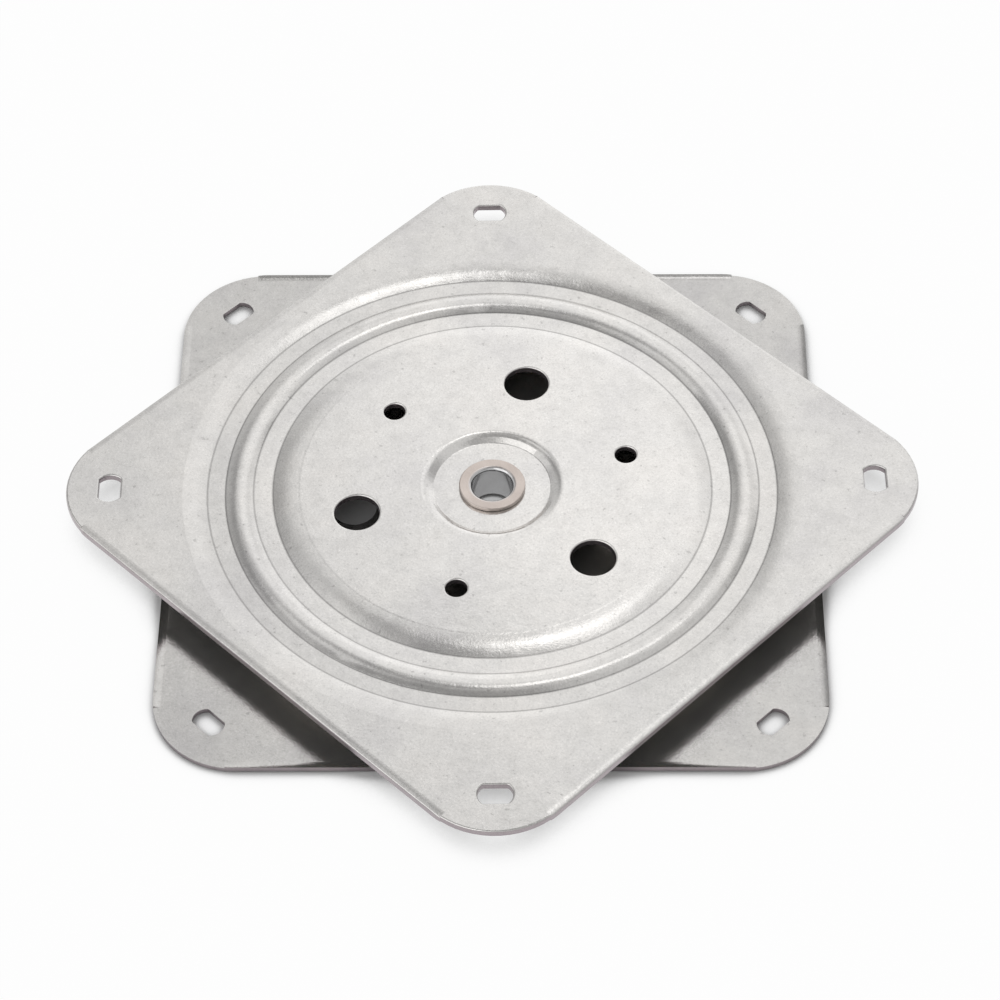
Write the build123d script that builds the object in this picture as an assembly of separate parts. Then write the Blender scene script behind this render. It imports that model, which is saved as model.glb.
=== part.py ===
from build123d import *
import os
from math import cos, radians, sin, sqrt, tan

# Turntable bearing: two alike pressed square plates, face to face, that turn on a ring of
# balls and are held together by a hollow rivet. Millimetres, +Z up, origin at the centre of
# the lower plate's underside. A plate is drawn with its outer face at height 0 and its
# sheet below it.

# Square plates
side = 195.0
corner_radius = 25.0
sheet = 2.0
edge_roll = 0.6
least_bend = 0.2

# Balls and the race that is pressed into each plate
ball_diameter = 9.0
ball_count = 24
ball_circle_inset = 21.9
race_clearance = 0.15
race_bend = 6.0
race_flank_angle = 30.0

# Flat grooves on both sides of the race
groove_depth = 1.2
inner_groove_width = 5.7
outer_groove_width = 5.4
foot_bend = 0.5
inner_slope_run = 8.4
outer_slope_run = 7.6

# Lips along the straight edges, turned slightly towards the other plate
lip_width = 2.3
lip_drop = 0.35
lip_half_length = 75.5

# Screw slots near the corners
slot_inset = 16.5
slot_width = 6.4
slot_length = 10.1
slot_end_radius = 4.2
slot_corner_radius = 0.8

# Screw holes and access holes, in turn on one circle, as many of each
hole_count = 3
hole_circle_radius = 41.7
access_hole_diameter = 13.4
screw_hole_diameter = 6.4
first_access_hole_angle = 30.0

# Hollow rivet and the dimple that each of its flanges lies in
rivet_bore = 12.2
rivet_wall = 1.6
rivet_flange_width = 2.25
rivet_flange_thickness = 1.25
rivet_mouth_bend = 1.2
rivet_edge_bend = 0.35
rivet_play = 0.15
rivet_turning_clearance = 0.1
rivet_seat_clearance = 0.05
dimple_margin = 7.65
dimple_depth = 1.8
dimple_slope_run = 2.6
dimple_rim_bend = 4.0

# Ball cage
cage_width = 14.0
cage_web = 2.4
cage_gap = 1.15
pocket_clearance = 0.15
pocket_wall = 1.95
first_ball_angle = 7.5

# How the two plates stand to each other at rest
lower_plate_angle = 90.0
upper_plate_angle = 45.85

# Sizes that follow
ball_radius = ball_diameter / 2
middle = ball_radius + race_clearance + sheet
height = 2 * middle
ridge_bend = race_bend + sheet
ball_circle_radius = side / 2 - ball_circle_inset
inner_slope_radius = (inner_slope_run**2 + groove_depth**2) / (2 * groove_depth)
outer_slope_radius = (outer_slope_run**2 + groove_depth**2) / (2 * groove_depth)
rivet_tube_radius = rivet_bore / 2 + rivet_wall
rivet_flange_radius = rivet_tube_radius + rivet_flange_width
dimple_radius = rivet_flange_radius + dimple_margin
collar_height = 2 * (middle - sheet - groove_depth - cage_gap)


def offset_corners(points, bends, distance):
    """Corners and bend radii of the sheet's inner face, a fixed distance below its outer one."""
    moved = []
    radii = []
    for before, here, after in zip(points, points[1:], points[2:]):
        first = (Vector(*here) - Vector(*before)).normalized()
        second = (Vector(*after) - Vector(*here)).normalized()
        first_normal = Vector(first.Y, -first.X)
        second_normal = Vector(second.Y, -second.X)
        mitre = (first_normal + second_normal) * (distance / (1 + first_normal.dot(second_normal)))
        moved.append((here[0] + mitre.X, here[1] + mitre.Y))
        turns_up = first.X * second.Y - first.Y * second.X > 0
        bend = bends[len(radii)]
        radii.append(bend + distance if turns_up else max(bend - distance, least_bend))
    start = (points[0][0], points[0][1] - distance)
    end = (points[-1][0], points[-1][1] - distance)
    return [start] + moved + [end], radii


def pressed_disc(hole_radius):
    """Dimple, flat centre, groove, race, groove and flat rim, turned about the middle.

    The slope from the level sheet into a groove is one arc, with a small bend at its foot.
    """
    peak = ridge_bend / cos(radians(race_flank_angle)) - ridge_bend
    race_foot = (peak + groove_depth) / tan(radians(race_flank_angle))
    inner_foot = ball_circle_radius - race_foot - inner_groove_width
    outer_foot = ball_circle_radius + race_foot + outer_groove_width
    inner_tangent = inner_slope_radius * groove_depth / inner_slope_run
    outer_tangent = outer_slope_radius * groove_depth / outer_slope_run
    corners = [
        (hole_radius, -dimple_depth),
        (dimple_radius, -dimple_depth),
        (dimple_radius + dimple_slope_run, 0),
        (inner_foot - inner_slope_run + inner_tangent, 0),
        (inner_foot, -groove_depth),
        (ball_circle_radius - race_foot, -groove_depth),
        (ball_circle_radius, peak),
        (ball_circle_radius + race_foot, -groove_depth),
        (outer_foot, -groove_depth),
        (outer_foot + outer_slope_run - outer_tangent, 0),
        (side, 0),
    ]
    bends = [
        foot_bend,
        dimple_rim_bend,
        inner_slope_radius - 2 * foot_bend,
        foot_bend,
        foot_bend,
        ridge_bend,
        foot_bend,
        foot_bend,
        outer_slope_radius - 2 * foot_bend,
    ]
    inner_corners, inner_bends = offset_corners(corners, bends, sheet)
    outer_face = FilletPolyline(*corners, radius=bends)
    inner_face = FilletPolyline(*inner_corners, radius=inner_bends)
    start_wall = Line(corners[0], inner_corners[0])
    end_wall = Line(corners[-1], inner_corners[-1])
    section = make_face(outer_face.edges() + inner_face.edges() + [start_wall, end_wall])
    return revolve(Plane.XZ * section, Axis.Z, 360)


def edge_lip():
    """Sheet edge along the +X side, rolled a little downwards."""
    start = side / 2 - lip_width
    outer_radius = (lip_width**2 + lip_drop**2) / (2 * lip_drop)
    inner_radius = outer_radius - sheet
    inner_end = sqrt(inner_radius**2 - lip_width**2) - outer_radius
    outer_arc = TangentArc((start, 0), (side / 2, -lip_drop), tangent=(1, 0))
    inner_arc = TangentArc((start, -sheet), (side / 2, inner_end), tangent=(1, 0))
    edge = Line(outer_arc @ 1, inner_arc @ 1)
    root = Line(inner_arc @ 0, outer_arc @ 0)
    section = make_face([outer_arc, edge, inner_arc, root])
    top_corner = section.vertices().sort_by_distance(outer_arc @ 1)[0]
    section = fillet(top_corner, edge_roll)
    return extrude(Plane.XZ * section, lip_half_length, both=True)


def slot_cutter():
    """Slot with parallel sides and flatter-than-round ends, along Y."""
    half_long = slot_length / 2
    half_wide = slot_width / 2
    corner = half_long - slot_end_radius + sqrt(slot_end_radius**2 - half_wide**2)
    outline = make_face([
        Line((-half_wide, -corner), (-half_wide, corner)),
        ThreePointArc((-half_wide, corner), (0, half_long), (half_wide, corner)),
        Line((half_wide, corner), (half_wide, -corner)),
        ThreePointArc((half_wide, -corner), (0, -half_long), (-half_wide, -corner)),
    ])
    outline = fillet(outline.vertices(), slot_corner_radius)
    return extrude(outline, height, both=True)


def swivel_plate(hole_radius):
    """One square plate with its race, lips, slots and holes."""
    outline = extrude(RectangleRounded(side, side, corner_radius), height, both=True)
    plate = pressed_disc(hole_radius) & outline
    top_faces = plate.faces().filter_by(Plane.XY).group_by(Axis.Z)[-1]
    rim = max(top_faces, key=lambda face: face.outer_wire().length)
    plate = fillet(rim.outer_wire().edges(), edge_roll)

    lip = edge_lip() & outline
    lip_space = Pos(side / 2, 0, 0) * Box(2 * lip_width, 2 * lip_half_length, 4 * sheet)
    for quarter in range(4):
        turn = Rot(0, 0, 90 * quarter)
        plate = (plate - turn * lip_space) + turn * lip

    slot_distance = sqrt(2) * (side / 2 - slot_inset)
    cutters = PolarLocations(slot_distance, 4, 45) * slot_cutter()
    access_hole = Cylinder(access_hole_diameter / 2, 2 * height)
    screw_hole = Cylinder(screw_hole_diameter / 2, 2 * height)
    first_screw_hole_angle = first_access_hole_angle + 180 / hole_count
    cutters += PolarLocations(hole_circle_radius, hole_count, first_access_hole_angle) * access_hole
    cutters += PolarLocations(hole_circle_radius, hole_count, first_screw_hole_angle) * screw_hole
    pierced = plate
    for cutter in cutters:
        pierced -= cutter
    hole_edges = new_edges(plate, combined=pierced).group_by(Axis.Z)[-1]
    return fillet(hole_edges, edge_roll)


def centre_rivet():
    """Hollow rivet with a flange at each end, the lower one seated in the lower dimple."""
    bore_radius = rivet_bore / 2
    lower_seat = dimple_depth
    upper_seat = height - dimple_depth + rivet_play
    bottom = lower_seat - rivet_flange_thickness
    top = upper_seat + rivet_flange_thickness
    section = FilletPolyline(
        (bore_radius, bottom),
        (rivet_flange_radius, bottom),
        (rivet_flange_radius, lower_seat),
        (rivet_tube_radius, lower_seat),
        (rivet_tube_radius, upper_seat),
        (rivet_flange_radius, upper_seat),
        (rivet_flange_radius, top),
        (bore_radius, top),
        radius=[
            rivet_mouth_bend,
            rivet_edge_bend,
            rivet_edge_bend,
            0,
            0,
            rivet_edge_bend,
            rivet_edge_bend,
            rivet_mouth_bend,
        ],
        close=True,
    )
    return revolve(Plane.XZ * make_face(section.edges()), Axis.Z, 360)


def ball_cage():
    """Flat ring with a collar round each pocket, moulded in one piece."""
    pocket_radius = ball_radius + pocket_clearance
    ring = Cylinder(ball_circle_radius + cage_width / 2, cage_web)
    ring -= Cylinder(ball_circle_radius - cage_width / 2, 2 * cage_web)
    places = PolarLocations(ball_circle_radius, ball_count, first_ball_angle)
    ring += places * Cylinder(pocket_radius + pocket_wall, collar_height)
    ring -= places * Sphere(pocket_radius)
    return Pos(0, 0, middle) * ring


def balls():
    """The balls, each under its own name, in their order round the cage."""
    named = {}
    for index in range(ball_count):
        angle = radians(first_ball_angle + 360 * index / ball_count)
        place = Pos(ball_circle_radius * cos(angle), ball_circle_radius * sin(angle), middle)
        named[f"ball_{index + 1:02d}"] = place * Sphere(ball_radius)
    return named


def bearing():
    """Every piece of the bearing, by the name of its node."""
    lower = swivel_plate(rivet_tube_radius + rivet_seat_clearance)
    upper = swivel_plate(rivet_tube_radius + rivet_turning_clearance)
    pieces = {
        "lower_plate": Rot(0, 0, lower_plate_angle) * Rot(180, 0, 0) * lower,
        "upper_plate": Pos(0, 0, height) * Rot(0, 0, upper_plate_angle) * upper,
        "centre_rivet": centre_rivet(),
        "ball_cage": ball_cage(),
    }
    pieces.update(balls())
    return pieces


os.makedirs("parts", exist_ok=True)
for name, piece in bearing().items():
    export_step(piece, f"parts/{name}.step")
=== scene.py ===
from math import cos, degrees, radians, sin

import bpy
from mathutils import Matrix, Vector

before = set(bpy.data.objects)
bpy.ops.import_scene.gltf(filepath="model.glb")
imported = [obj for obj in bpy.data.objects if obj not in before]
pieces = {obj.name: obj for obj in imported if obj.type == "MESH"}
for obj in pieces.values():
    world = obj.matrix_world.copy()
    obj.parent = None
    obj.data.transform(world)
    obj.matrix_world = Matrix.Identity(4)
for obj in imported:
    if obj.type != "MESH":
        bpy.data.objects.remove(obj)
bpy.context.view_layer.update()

# Turntable bearing: galvanised plates, plated rivet, steel balls in a nylon cage.
# Lengths are in metres. An edge is a pair: where something has faded out, and where it is full.
ball_names = sorted(name for name in pieces if name.startswith("ball_") and name != "ball_cage")

# Camera, solved from the photograph, with its turns in degrees and its lens in millimetres
camera_place = Vector((0.0142, -0.7033, 0.8227))
camera_turns = ((40.716, "X"), (0.634, "Y"), (-0.097, "Z"))
camera_lens = 129.05
sensor_width = 36.0
nearest_seen = 0.01

# Slight crown of the pressed disc
crown_radius = 0.058
crown_rise = 0.0011

# Edge of the race, by the distance from the turning axis. Outside it the zinc is darker by each
# plate's outer_shade.
pressed_edge = (0.085, 0.06)

# Painted shade in thin dark lines along the creases at the feet of the slopes, with their half
# width
crease_shade_radii = (0.0657, 0.0714, 0.0798, 0.0852)
crease_shade_width = 0.0005
crease_shade_level = 0.6

# Cut edges, where the zinc is thin. How upright the surface faces tells them from the sheet.
cut_edge_tint = (0.6, 0.54, 0.58)
sheet_face_edge = (0.35, 0.75)

# Rivet's bore, cooler than its flanges
bore_tint = (1.15, 1.3, 1.42)
bore_wall_edge = (0.0075, 0.0063)

# Floor, just below the bearing so that the two don't share a plane
floor_size = 6.0
floor_drop = 0.0001
floor_grey = 0.6
floor_roughness = 0.8

# Glow that makes the open floor white, fading where a piece stands close to it or over it: a
# painted soft shadow, over the real shade that the lamps cast on the grey floor.
# Shelter is the share of open space within reach of a spot. A little glow lights the bore.
floor_glow = 0.97
shelter_reach = 0.0135
shelter_samples = 12
shelter_edge = (0.5, 0.9)
# Under the bearing the floor has no glow, a painted shade over its real shade.
glow_edge = (0.08, 0.09)
bore_glow = 0.36
bore_glow_edge = (0.0066, 0.0056)

# Studio light: levels where 1 is white, and angles in degrees, azimuth from +X towards +Y
room_level = 0.35
horizon_level = 0.3
horizon_edge = (45, 20)
wall_level = 0.6
wall_top = (63, 53)
wall_sides = ((125, 85), (30, 50))

# Softboxes: azimuth, elevation, radius of the full disc, radius where it ends, added level.
# A negative level is a dark flag that takes light away.
softboxes = (
    (90, 64, 18, 30, 0.28),
    (90, 24, 12, 21, 0.15),
    (90, 69, 3, 7, 0.9),
    (72, 66, 4, 9, 1.1),
    (115, 71, 5, 12, -0.35),
    (146, 63, 6, 14, 0.45),
    (225, 38, 20, 34, 0.95),
    (182, 35, 12, 28, 0.5),
    (0, 58, 14, 30, 0.45),
    (270, 42, 14, 30, 0.3),
)

# Where a mix node keeps its two colours and their result
mix_first, mix_second, mix_result = 6, 7, 2


class Shading:
    """Shorthands for adding nodes to a tree and joining them."""

    def __init__(self, tree):
        self.tree = tree
        self.link = tree.links.new

    def add(self, kind, **settings):
        """New node with its settings."""
        node = self.tree.nodes.new(kind)
        for name, value in settings.items():
            setattr(node, name, value)
        return node

    def feed(self, socket, value):
        """Joins an input to another node's output, or gives it a plain value."""
        if isinstance(value, bpy.types.NodeSocket):
            self.link(value, socket)
        else:
            socket.default_value = value

    def calculate(self, operation, *values):
        """Maths over outputs and plain numbers."""
        node = self.add("ShaderNodeMath", operation=operation)
        for socket, value in zip(node.inputs, values):
            self.feed(socket, value)
        return node.outputs["Value"]

    def window(self, value, dark, bright):
        """Smooth step of a value, from 0 at dark to 1 at bright."""
        node = self.add("ShaderNodeMapRange", interpolation_type="SMOOTHSTEP")
        node.inputs["From Min"].default_value = dark
        node.inputs["From Max"].default_value = bright
        self.link(value, node.inputs["Value"])
        return node.outputs["Result"]

    def split(self, vector):
        """The three numbers of a vector."""
        node = self.add("ShaderNodeSeparateXYZ")
        self.link(vector, node.inputs["Vector"])
        return node.outputs["X"], node.outputs["Y"], node.outputs["Z"]

    def mix_shaders(self, share, first, second):
        """From the first shader where the share is 0 to the second where it is 1."""
        node = self.add("ShaderNodeMixShader")
        for socket, value in zip(node.inputs, (share, first, second)):
            self.link(value, socket)
        return node.outputs["Shader"]


class Finish(Shading):
    """A new material, with its Principled shader and the object's own coordinates."""

    def __init__(self, name):
        self.material = bpy.data.materials.new(name)
        self.material.use_nodes = True
        super().__init__(self.material.node_tree)
        self.shader = self.tree.nodes["Principled BSDF"]
        self.coordinates = self.add("ShaderNodeTexCoord").outputs
        self.place = self.coordinates["Object"]

    def set(self, name, value):
        """Gives an input of the shader its output or plain value."""
        self.feed(self.shader.inputs[name], value)

    def noise(self, scale, detail=2.0, roughness=0.5):
        """Noise with scale features in a metre."""
        node = self.add("ShaderNodeTexNoise")
        node.inputs["Scale"].default_value = scale
        node.inputs["Detail"].default_value = detail
        node.inputs["Roughness"].default_value = roughness
        self.link(self.place, node.inputs["Vector"])
        return node.outputs["Fac"]

    def ramp(self, value, *stops):
        """Colour ramp with (position, colour or grey) stops."""
        node = self.add("ShaderNodeValToRGB")
        elements = node.color_ramp.elements
        while len(elements) < len(stops):
            elements.new(0.5)
        for element, (position, colour) in zip(elements, stops):
            element.position = position
            grey = (colour, colour, colour) if isinstance(colour, (int, float)) else colour
            element.color = (*grey, 1.0)
        self.link(value, node.inputs["Fac"])
        return node.outputs["Color"]

    def fade(self, share, first, second):
        """From the first colour or grey where the share is 0 to the second where it is 1."""
        return self.ramp(share, (0.0, first), (1.0, second))

    def multiply(self, product, *colours):
        """Product of colours."""
        for colour in colours:
            node = self.add("ShaderNodeMix", data_type="RGBA", blend_type="MULTIPLY")
            node.inputs["Factor"].default_value = 1.0
            self.link(product, node.inputs[mix_first])
            self.link(colour, node.inputs[mix_second])
            product = node.outputs[mix_result]
        return product

    def bumps(self, *layers):
        """Bumps one on top of another, each a height from 0 to 1 and the rise that 1 stands for."""
        below = None
        for height, rise in layers:
            node = self.add("ShaderNodeBump")
            node.inputs["Strength"].default_value = 1.0
            node.inputs["Distance"].default_value = rise
            self.link(height, node.inputs["Height"])
            if below is not None:
                self.link(below, node.inputs["Normal"])
            below = node.outputs["Normal"]
        self.set("Normal", below)

    def axis_distance(self):
        """Distance from the turning axis."""
        x, y, _ = self.split(self.place)
        squares = self.calculate("MULTIPLY_ADD", y, y, self.calculate("MULTIPLY", x, x))
        return self.calculate("SQRT", squares)


def disc_crown(zinc, radius):
    """How far the pressed disc stands up, from 1 in the middle to 0 at its edge."""
    share = zinc.calculate("DIVIDE", radius, crown_radius)
    fall = zinc.calculate("MULTIPLY", share, share)
    return zinc.calculate("SUBTRACT", 1.0, zinc.calculate("MINIMUM", fall, 1.0))


def crease_shade_distance(zinc, radius):
    """Distance from the nearest crease line of painted shade."""
    away = [zinc.calculate("ABSOLUTE", zinc.calculate("SUBTRACT", radius, mark))
            for mark in crease_shade_radii]
    nearest = away[0]
    for distance in away[1:]:
        nearest = zinc.calculate("MINIMUM", nearest, distance)
    return nearest


def galvanised_steel(name, outer_shade):
    """Satin zinc: soft clouds, fine sparkle, small dark marks and a slightly wavy sheet.

    Outside the race it is darker by outer_shade.
    """
    zinc = Finish(name)
    radius = zinc.axis_distance()
    clouds = zinc.ramp(
        zinc.noise(40, detail=3.0),
        (0.3, (0.67, 0.655, 0.645)),
        (0.5, (0.725, 0.71, 0.69)),
        (0.7, (0.755, 0.735, 0.71)),
    )
    mottle = zinc.ramp(zinc.noise(260, detail=4.0, roughness=0.6), (0.35, 0.93), (0.6, 1.0))
    sparkle = zinc.ramp(
        zinc.noise(1700, roughness=0.6), (0.28, 0.86), (0.45, 0.97), (0.62, 1.0), (0.75, 1.12))
    marks = zinc.ramp(zinc.noise(520), (0.27, 0.8), (0.31, 1.0))
    pressed = zinc.window(radius, *pressed_edge)
    upright = zinc.calculate("ABSOLUTE", zinc.split(zinc.coordinates["Normal"])[-1])
    sheet_face = zinc.window(upright, *sheet_face_edge)
    # Painted shade: dark lines in the creases at the feet of the slopes
    outside_creases = zinc.window(crease_shade_distance(zinc, radius), 0.0, crease_shade_width)
    zinc.set("Base Color", zinc.multiply(
        clouds,
        mottle,
        sparkle,
        marks,
        zinc.fade(pressed, outer_shade, 1.0),
        zinc.fade(sheet_face, cut_edge_tint, 1.0),
        # painted shade in the creases
        zinc.fade(outside_creases, crease_shade_level, 1.0),
    ))
    zinc.set("Metallic", 0.9)
    zinc.set("Roughness", zinc.ramp(zinc.noise(120, detail=3.0), (0.3, 0.14), (0.7, 0.2)))
    zinc.bumps(
        (disc_crown(zinc, radius), crown_rise),
        (zinc.noise(18, detail=1.0), 0.0008),
        (zinc.noise(170), 0.00007),
        (zinc.noise(1300, detail=3.0, roughness=0.6), 0.00003),
    )
    return zinc.material


def plated_rivet():
    """Bright nickel with a warm tone, cooler in the bore, and faint upsetting marks."""
    nickel = Finish("plated_rivet")
    tone = nickel.ramp(
        nickel.noise(200, detail=3.0), (0.3, (0.49, 0.43, 0.395)), (0.7, (0.57, 0.505, 0.465)))
    inside = nickel.window(nickel.axis_distance(), *bore_wall_edge)
    nickel.set("Base Color", nickel.multiply(tone, nickel.fade(inside, 1.0, bore_tint)))
    nickel.set("Metallic", 1.0)
    nickel.set("Roughness", nickel.ramp(nickel.noise(400, detail=3.0), (0.3, 0.14), (0.7, 0.24)))
    nickel.bumps((nickel.noise(330), 0.00008), (nickel.noise(1500, detail=3.0), 0.00002))
    return nickel.material


def cage_nylon():
    """Natural nylon, slightly see-through and greasy."""
    nylon = Finish("cage_nylon")
    nylon.set("Base Color", nylon.ramp(
        nylon.noise(60, detail=3.0), (0.3, (0.72, 0.7, 0.62)), (0.7, (0.8, 0.78, 0.71))))
    nylon.set("Subsurface Weight", 0.2)
    nylon.set("Subsurface Scale", 0.002)
    nylon.set("Roughness", nylon.ramp(nylon.noise(300), (0.3, 0.35), (0.7, 0.5)))
    nylon.bumps((nylon.noise(500), 0.00002))
    return nylon.material


def ball_steel():
    """Polished steel with a film of grease that dulls it in patches."""
    steel = Finish("ball_steel")
    film = steel.noise(500, detail=3.0)
    steel.set("Base Color", steel.ramp(film, (0.35, (0.6, 0.59, 0.57)), (0.65, (0.68, 0.68, 0.68))))
    steel.set("Metallic", 1.0)
    steel.set("Roughness", steel.ramp(film, (0.35, 0.22), (0.65, 0.08)))
    steel.bumps((film, 0.000005))
    return steel.material


def dress(names, material):
    """Gives CAD pieces their finish."""
    for name in names:
        data = pieces[name].data
        data.materials.clear()
        data.materials.append(material)


def white_ground():
    """White floor, seen from above only, with a painted soft shadow near the pieces."""
    bpy.ops.mesh.primitive_plane_add(size=floor_size, location=(0, 0, -floor_drop))
    floor = bpy.context.object
    floor.name = "floor"
    white = Finish("white_ground")
    white.set("Base Color", (floor_grey, floor_grey, floor_grey, 1.0))
    white.set("Roughness", floor_roughness)
    white.set("Specular IOR Level", 0.0)
    glow = white.add("ShaderNodeEmission")
    glow.inputs["Strength"].default_value = 1.0

    path = white.add("ShaderNodeLightPath").outputs
    seen = white.calculate("MAXIMUM", path["Is Camera Ray"], path["Is Glossy Ray"])
    # Painted shadow: the glow fades where pieces shelter the floor and under the bearing, over the
    # real shade on the grey floor.
    shelter = white.add("ShaderNodeAmbientOcclusion", samples=shelter_samples)
    shelter.inputs["Distance"].default_value = shelter_reach
    radius = white.axis_distance()
    lit = white.calculate(
        "MULTIPLY",
        white.window(shelter.outputs["AO"], *shelter_edge),
        white.window(radius, *glow_edge),
    )
    # Painted light: a little glow on the floor under the rivet's bore.
    down_bore = white.calculate("MULTIPLY", white.window(radius, *bore_glow_edge), bore_glow)
    lit = white.calculate("MULTIPLY", white.calculate("MAXIMUM", lit, down_bore), floor_glow)
    share = white.calculate("MULTIPLY", seen, lit)

    upper_side = white.mix_shaders(share, white.shader.outputs["BSDF"], glow.outputs["Emission"])
    from_below = white.add("ShaderNodeNewGeometry").outputs["Backfacing"]
    clear = white.add("ShaderNodeBsdfTransparent").outputs["BSDF"]
    surface = white.mix_shaders(from_below, upper_side, clear)
    white.link(surface, white.tree.nodes["Material Output"].inputs["Surface"])
    floor.data.materials.append(white.material)


def studio():
    """White backdrop for the camera. The part is lit by a pale back wall, a light horizon and
    softboxes in a dim room."""
    world = bpy.context.scene.world or bpy.data.worlds.new("studio")
    bpy.context.scene.world = world
    world.use_nodes = True
    world.node_tree.nodes.clear()
    room = Shading(world.node_tree)

    direction = room.add("ShaderNodeTexCoord").outputs["Generated"]
    x, y, z = room.split(direction)
    elevation = room.calculate("MULTIPLY", room.calculate("ARCSINE", z), degrees(1))
    azimuth = room.calculate("MULTIPLY", room.calculate("ARCTAN2", y, x), degrees(1))

    wall = room.calculate("MULTIPLY", room.window(elevation, *wall_top), wall_level)
    for edge in wall_sides:
        wall = room.calculate("MULTIPLY", wall, room.window(azimuth, *edge))
    light = room.calculate("ADD", wall, room_level)
    horizon = room.window(elevation, *horizon_edge)
    light = room.calculate("MULTIPLY_ADD", horizon, horizon_level, light)
    for around, up, inner, outer, level in softboxes:
        flat = cos(radians(up))
        centre = (flat * cos(radians(around)), flat * sin(radians(around)), sin(radians(up)))
        nearness = room.add("ShaderNodeVectorMath", operation="DOT_PRODUCT")
        room.link(direction, nearness.inputs[0])
        nearness.inputs[1].default_value = centre
        disc = room.window(nearness.outputs["Value"], cos(radians(outer)), cos(radians(inner)))
        light = room.calculate("MULTIPLY_ADD", disc, level, light)

    lamps = room.add("ShaderNodeBackground")
    room.link(light, lamps.inputs["Strength"])
    backdrop = room.add("ShaderNodeBackground")
    for background in (lamps, backdrop):
        background.inputs["Color"].default_value = (1, 1, 1, 1)
    by_camera = room.add("ShaderNodeLightPath").outputs["Is Camera Ray"]
    surface = room.mix_shaders(
        by_camera, lamps.outputs["Background"], backdrop.outputs["Background"])
    room.link(surface, room.add("ShaderNodeOutputWorld").inputs["Surface"])


def photo_camera():
    """Camera where the photograph was taken from."""
    data = bpy.data.cameras.new("camera")
    data.lens = camera_lens
    data.sensor_width = sensor_width
    data.clip_start = nearest_seen
    holder = bpy.data.objects.new("camera", data)
    turn = Matrix.Identity(3)
    for angle, axis in camera_turns:
        turn = turn @ Matrix.Rotation(radians(angle), 3, axis)
    holder.matrix_world = Matrix.Translation(camera_place) @ turn.to_4x4()
    bpy.context.scene.collection.objects.link(holder)
    bpy.context.scene.camera = holder


# The two plates are the same zinc. The lower plate's copy is darker outside the race: painted
# shade.
dress(["upper_plate"], galvanised_steel("upper_galvanised_steel", 0.9))
dress(["lower_plate"], galvanised_steel("lower_shaded_galvanised_steel", 0.76))
dress(["centre_rivet"], plated_rivet())
dress(["ball_cage"], cage_nylon())
dress(ball_names, ball_steel())
white_ground()
studio()
photo_camera()
bpy.context.scene.view_settings.view_transform = "Standard"
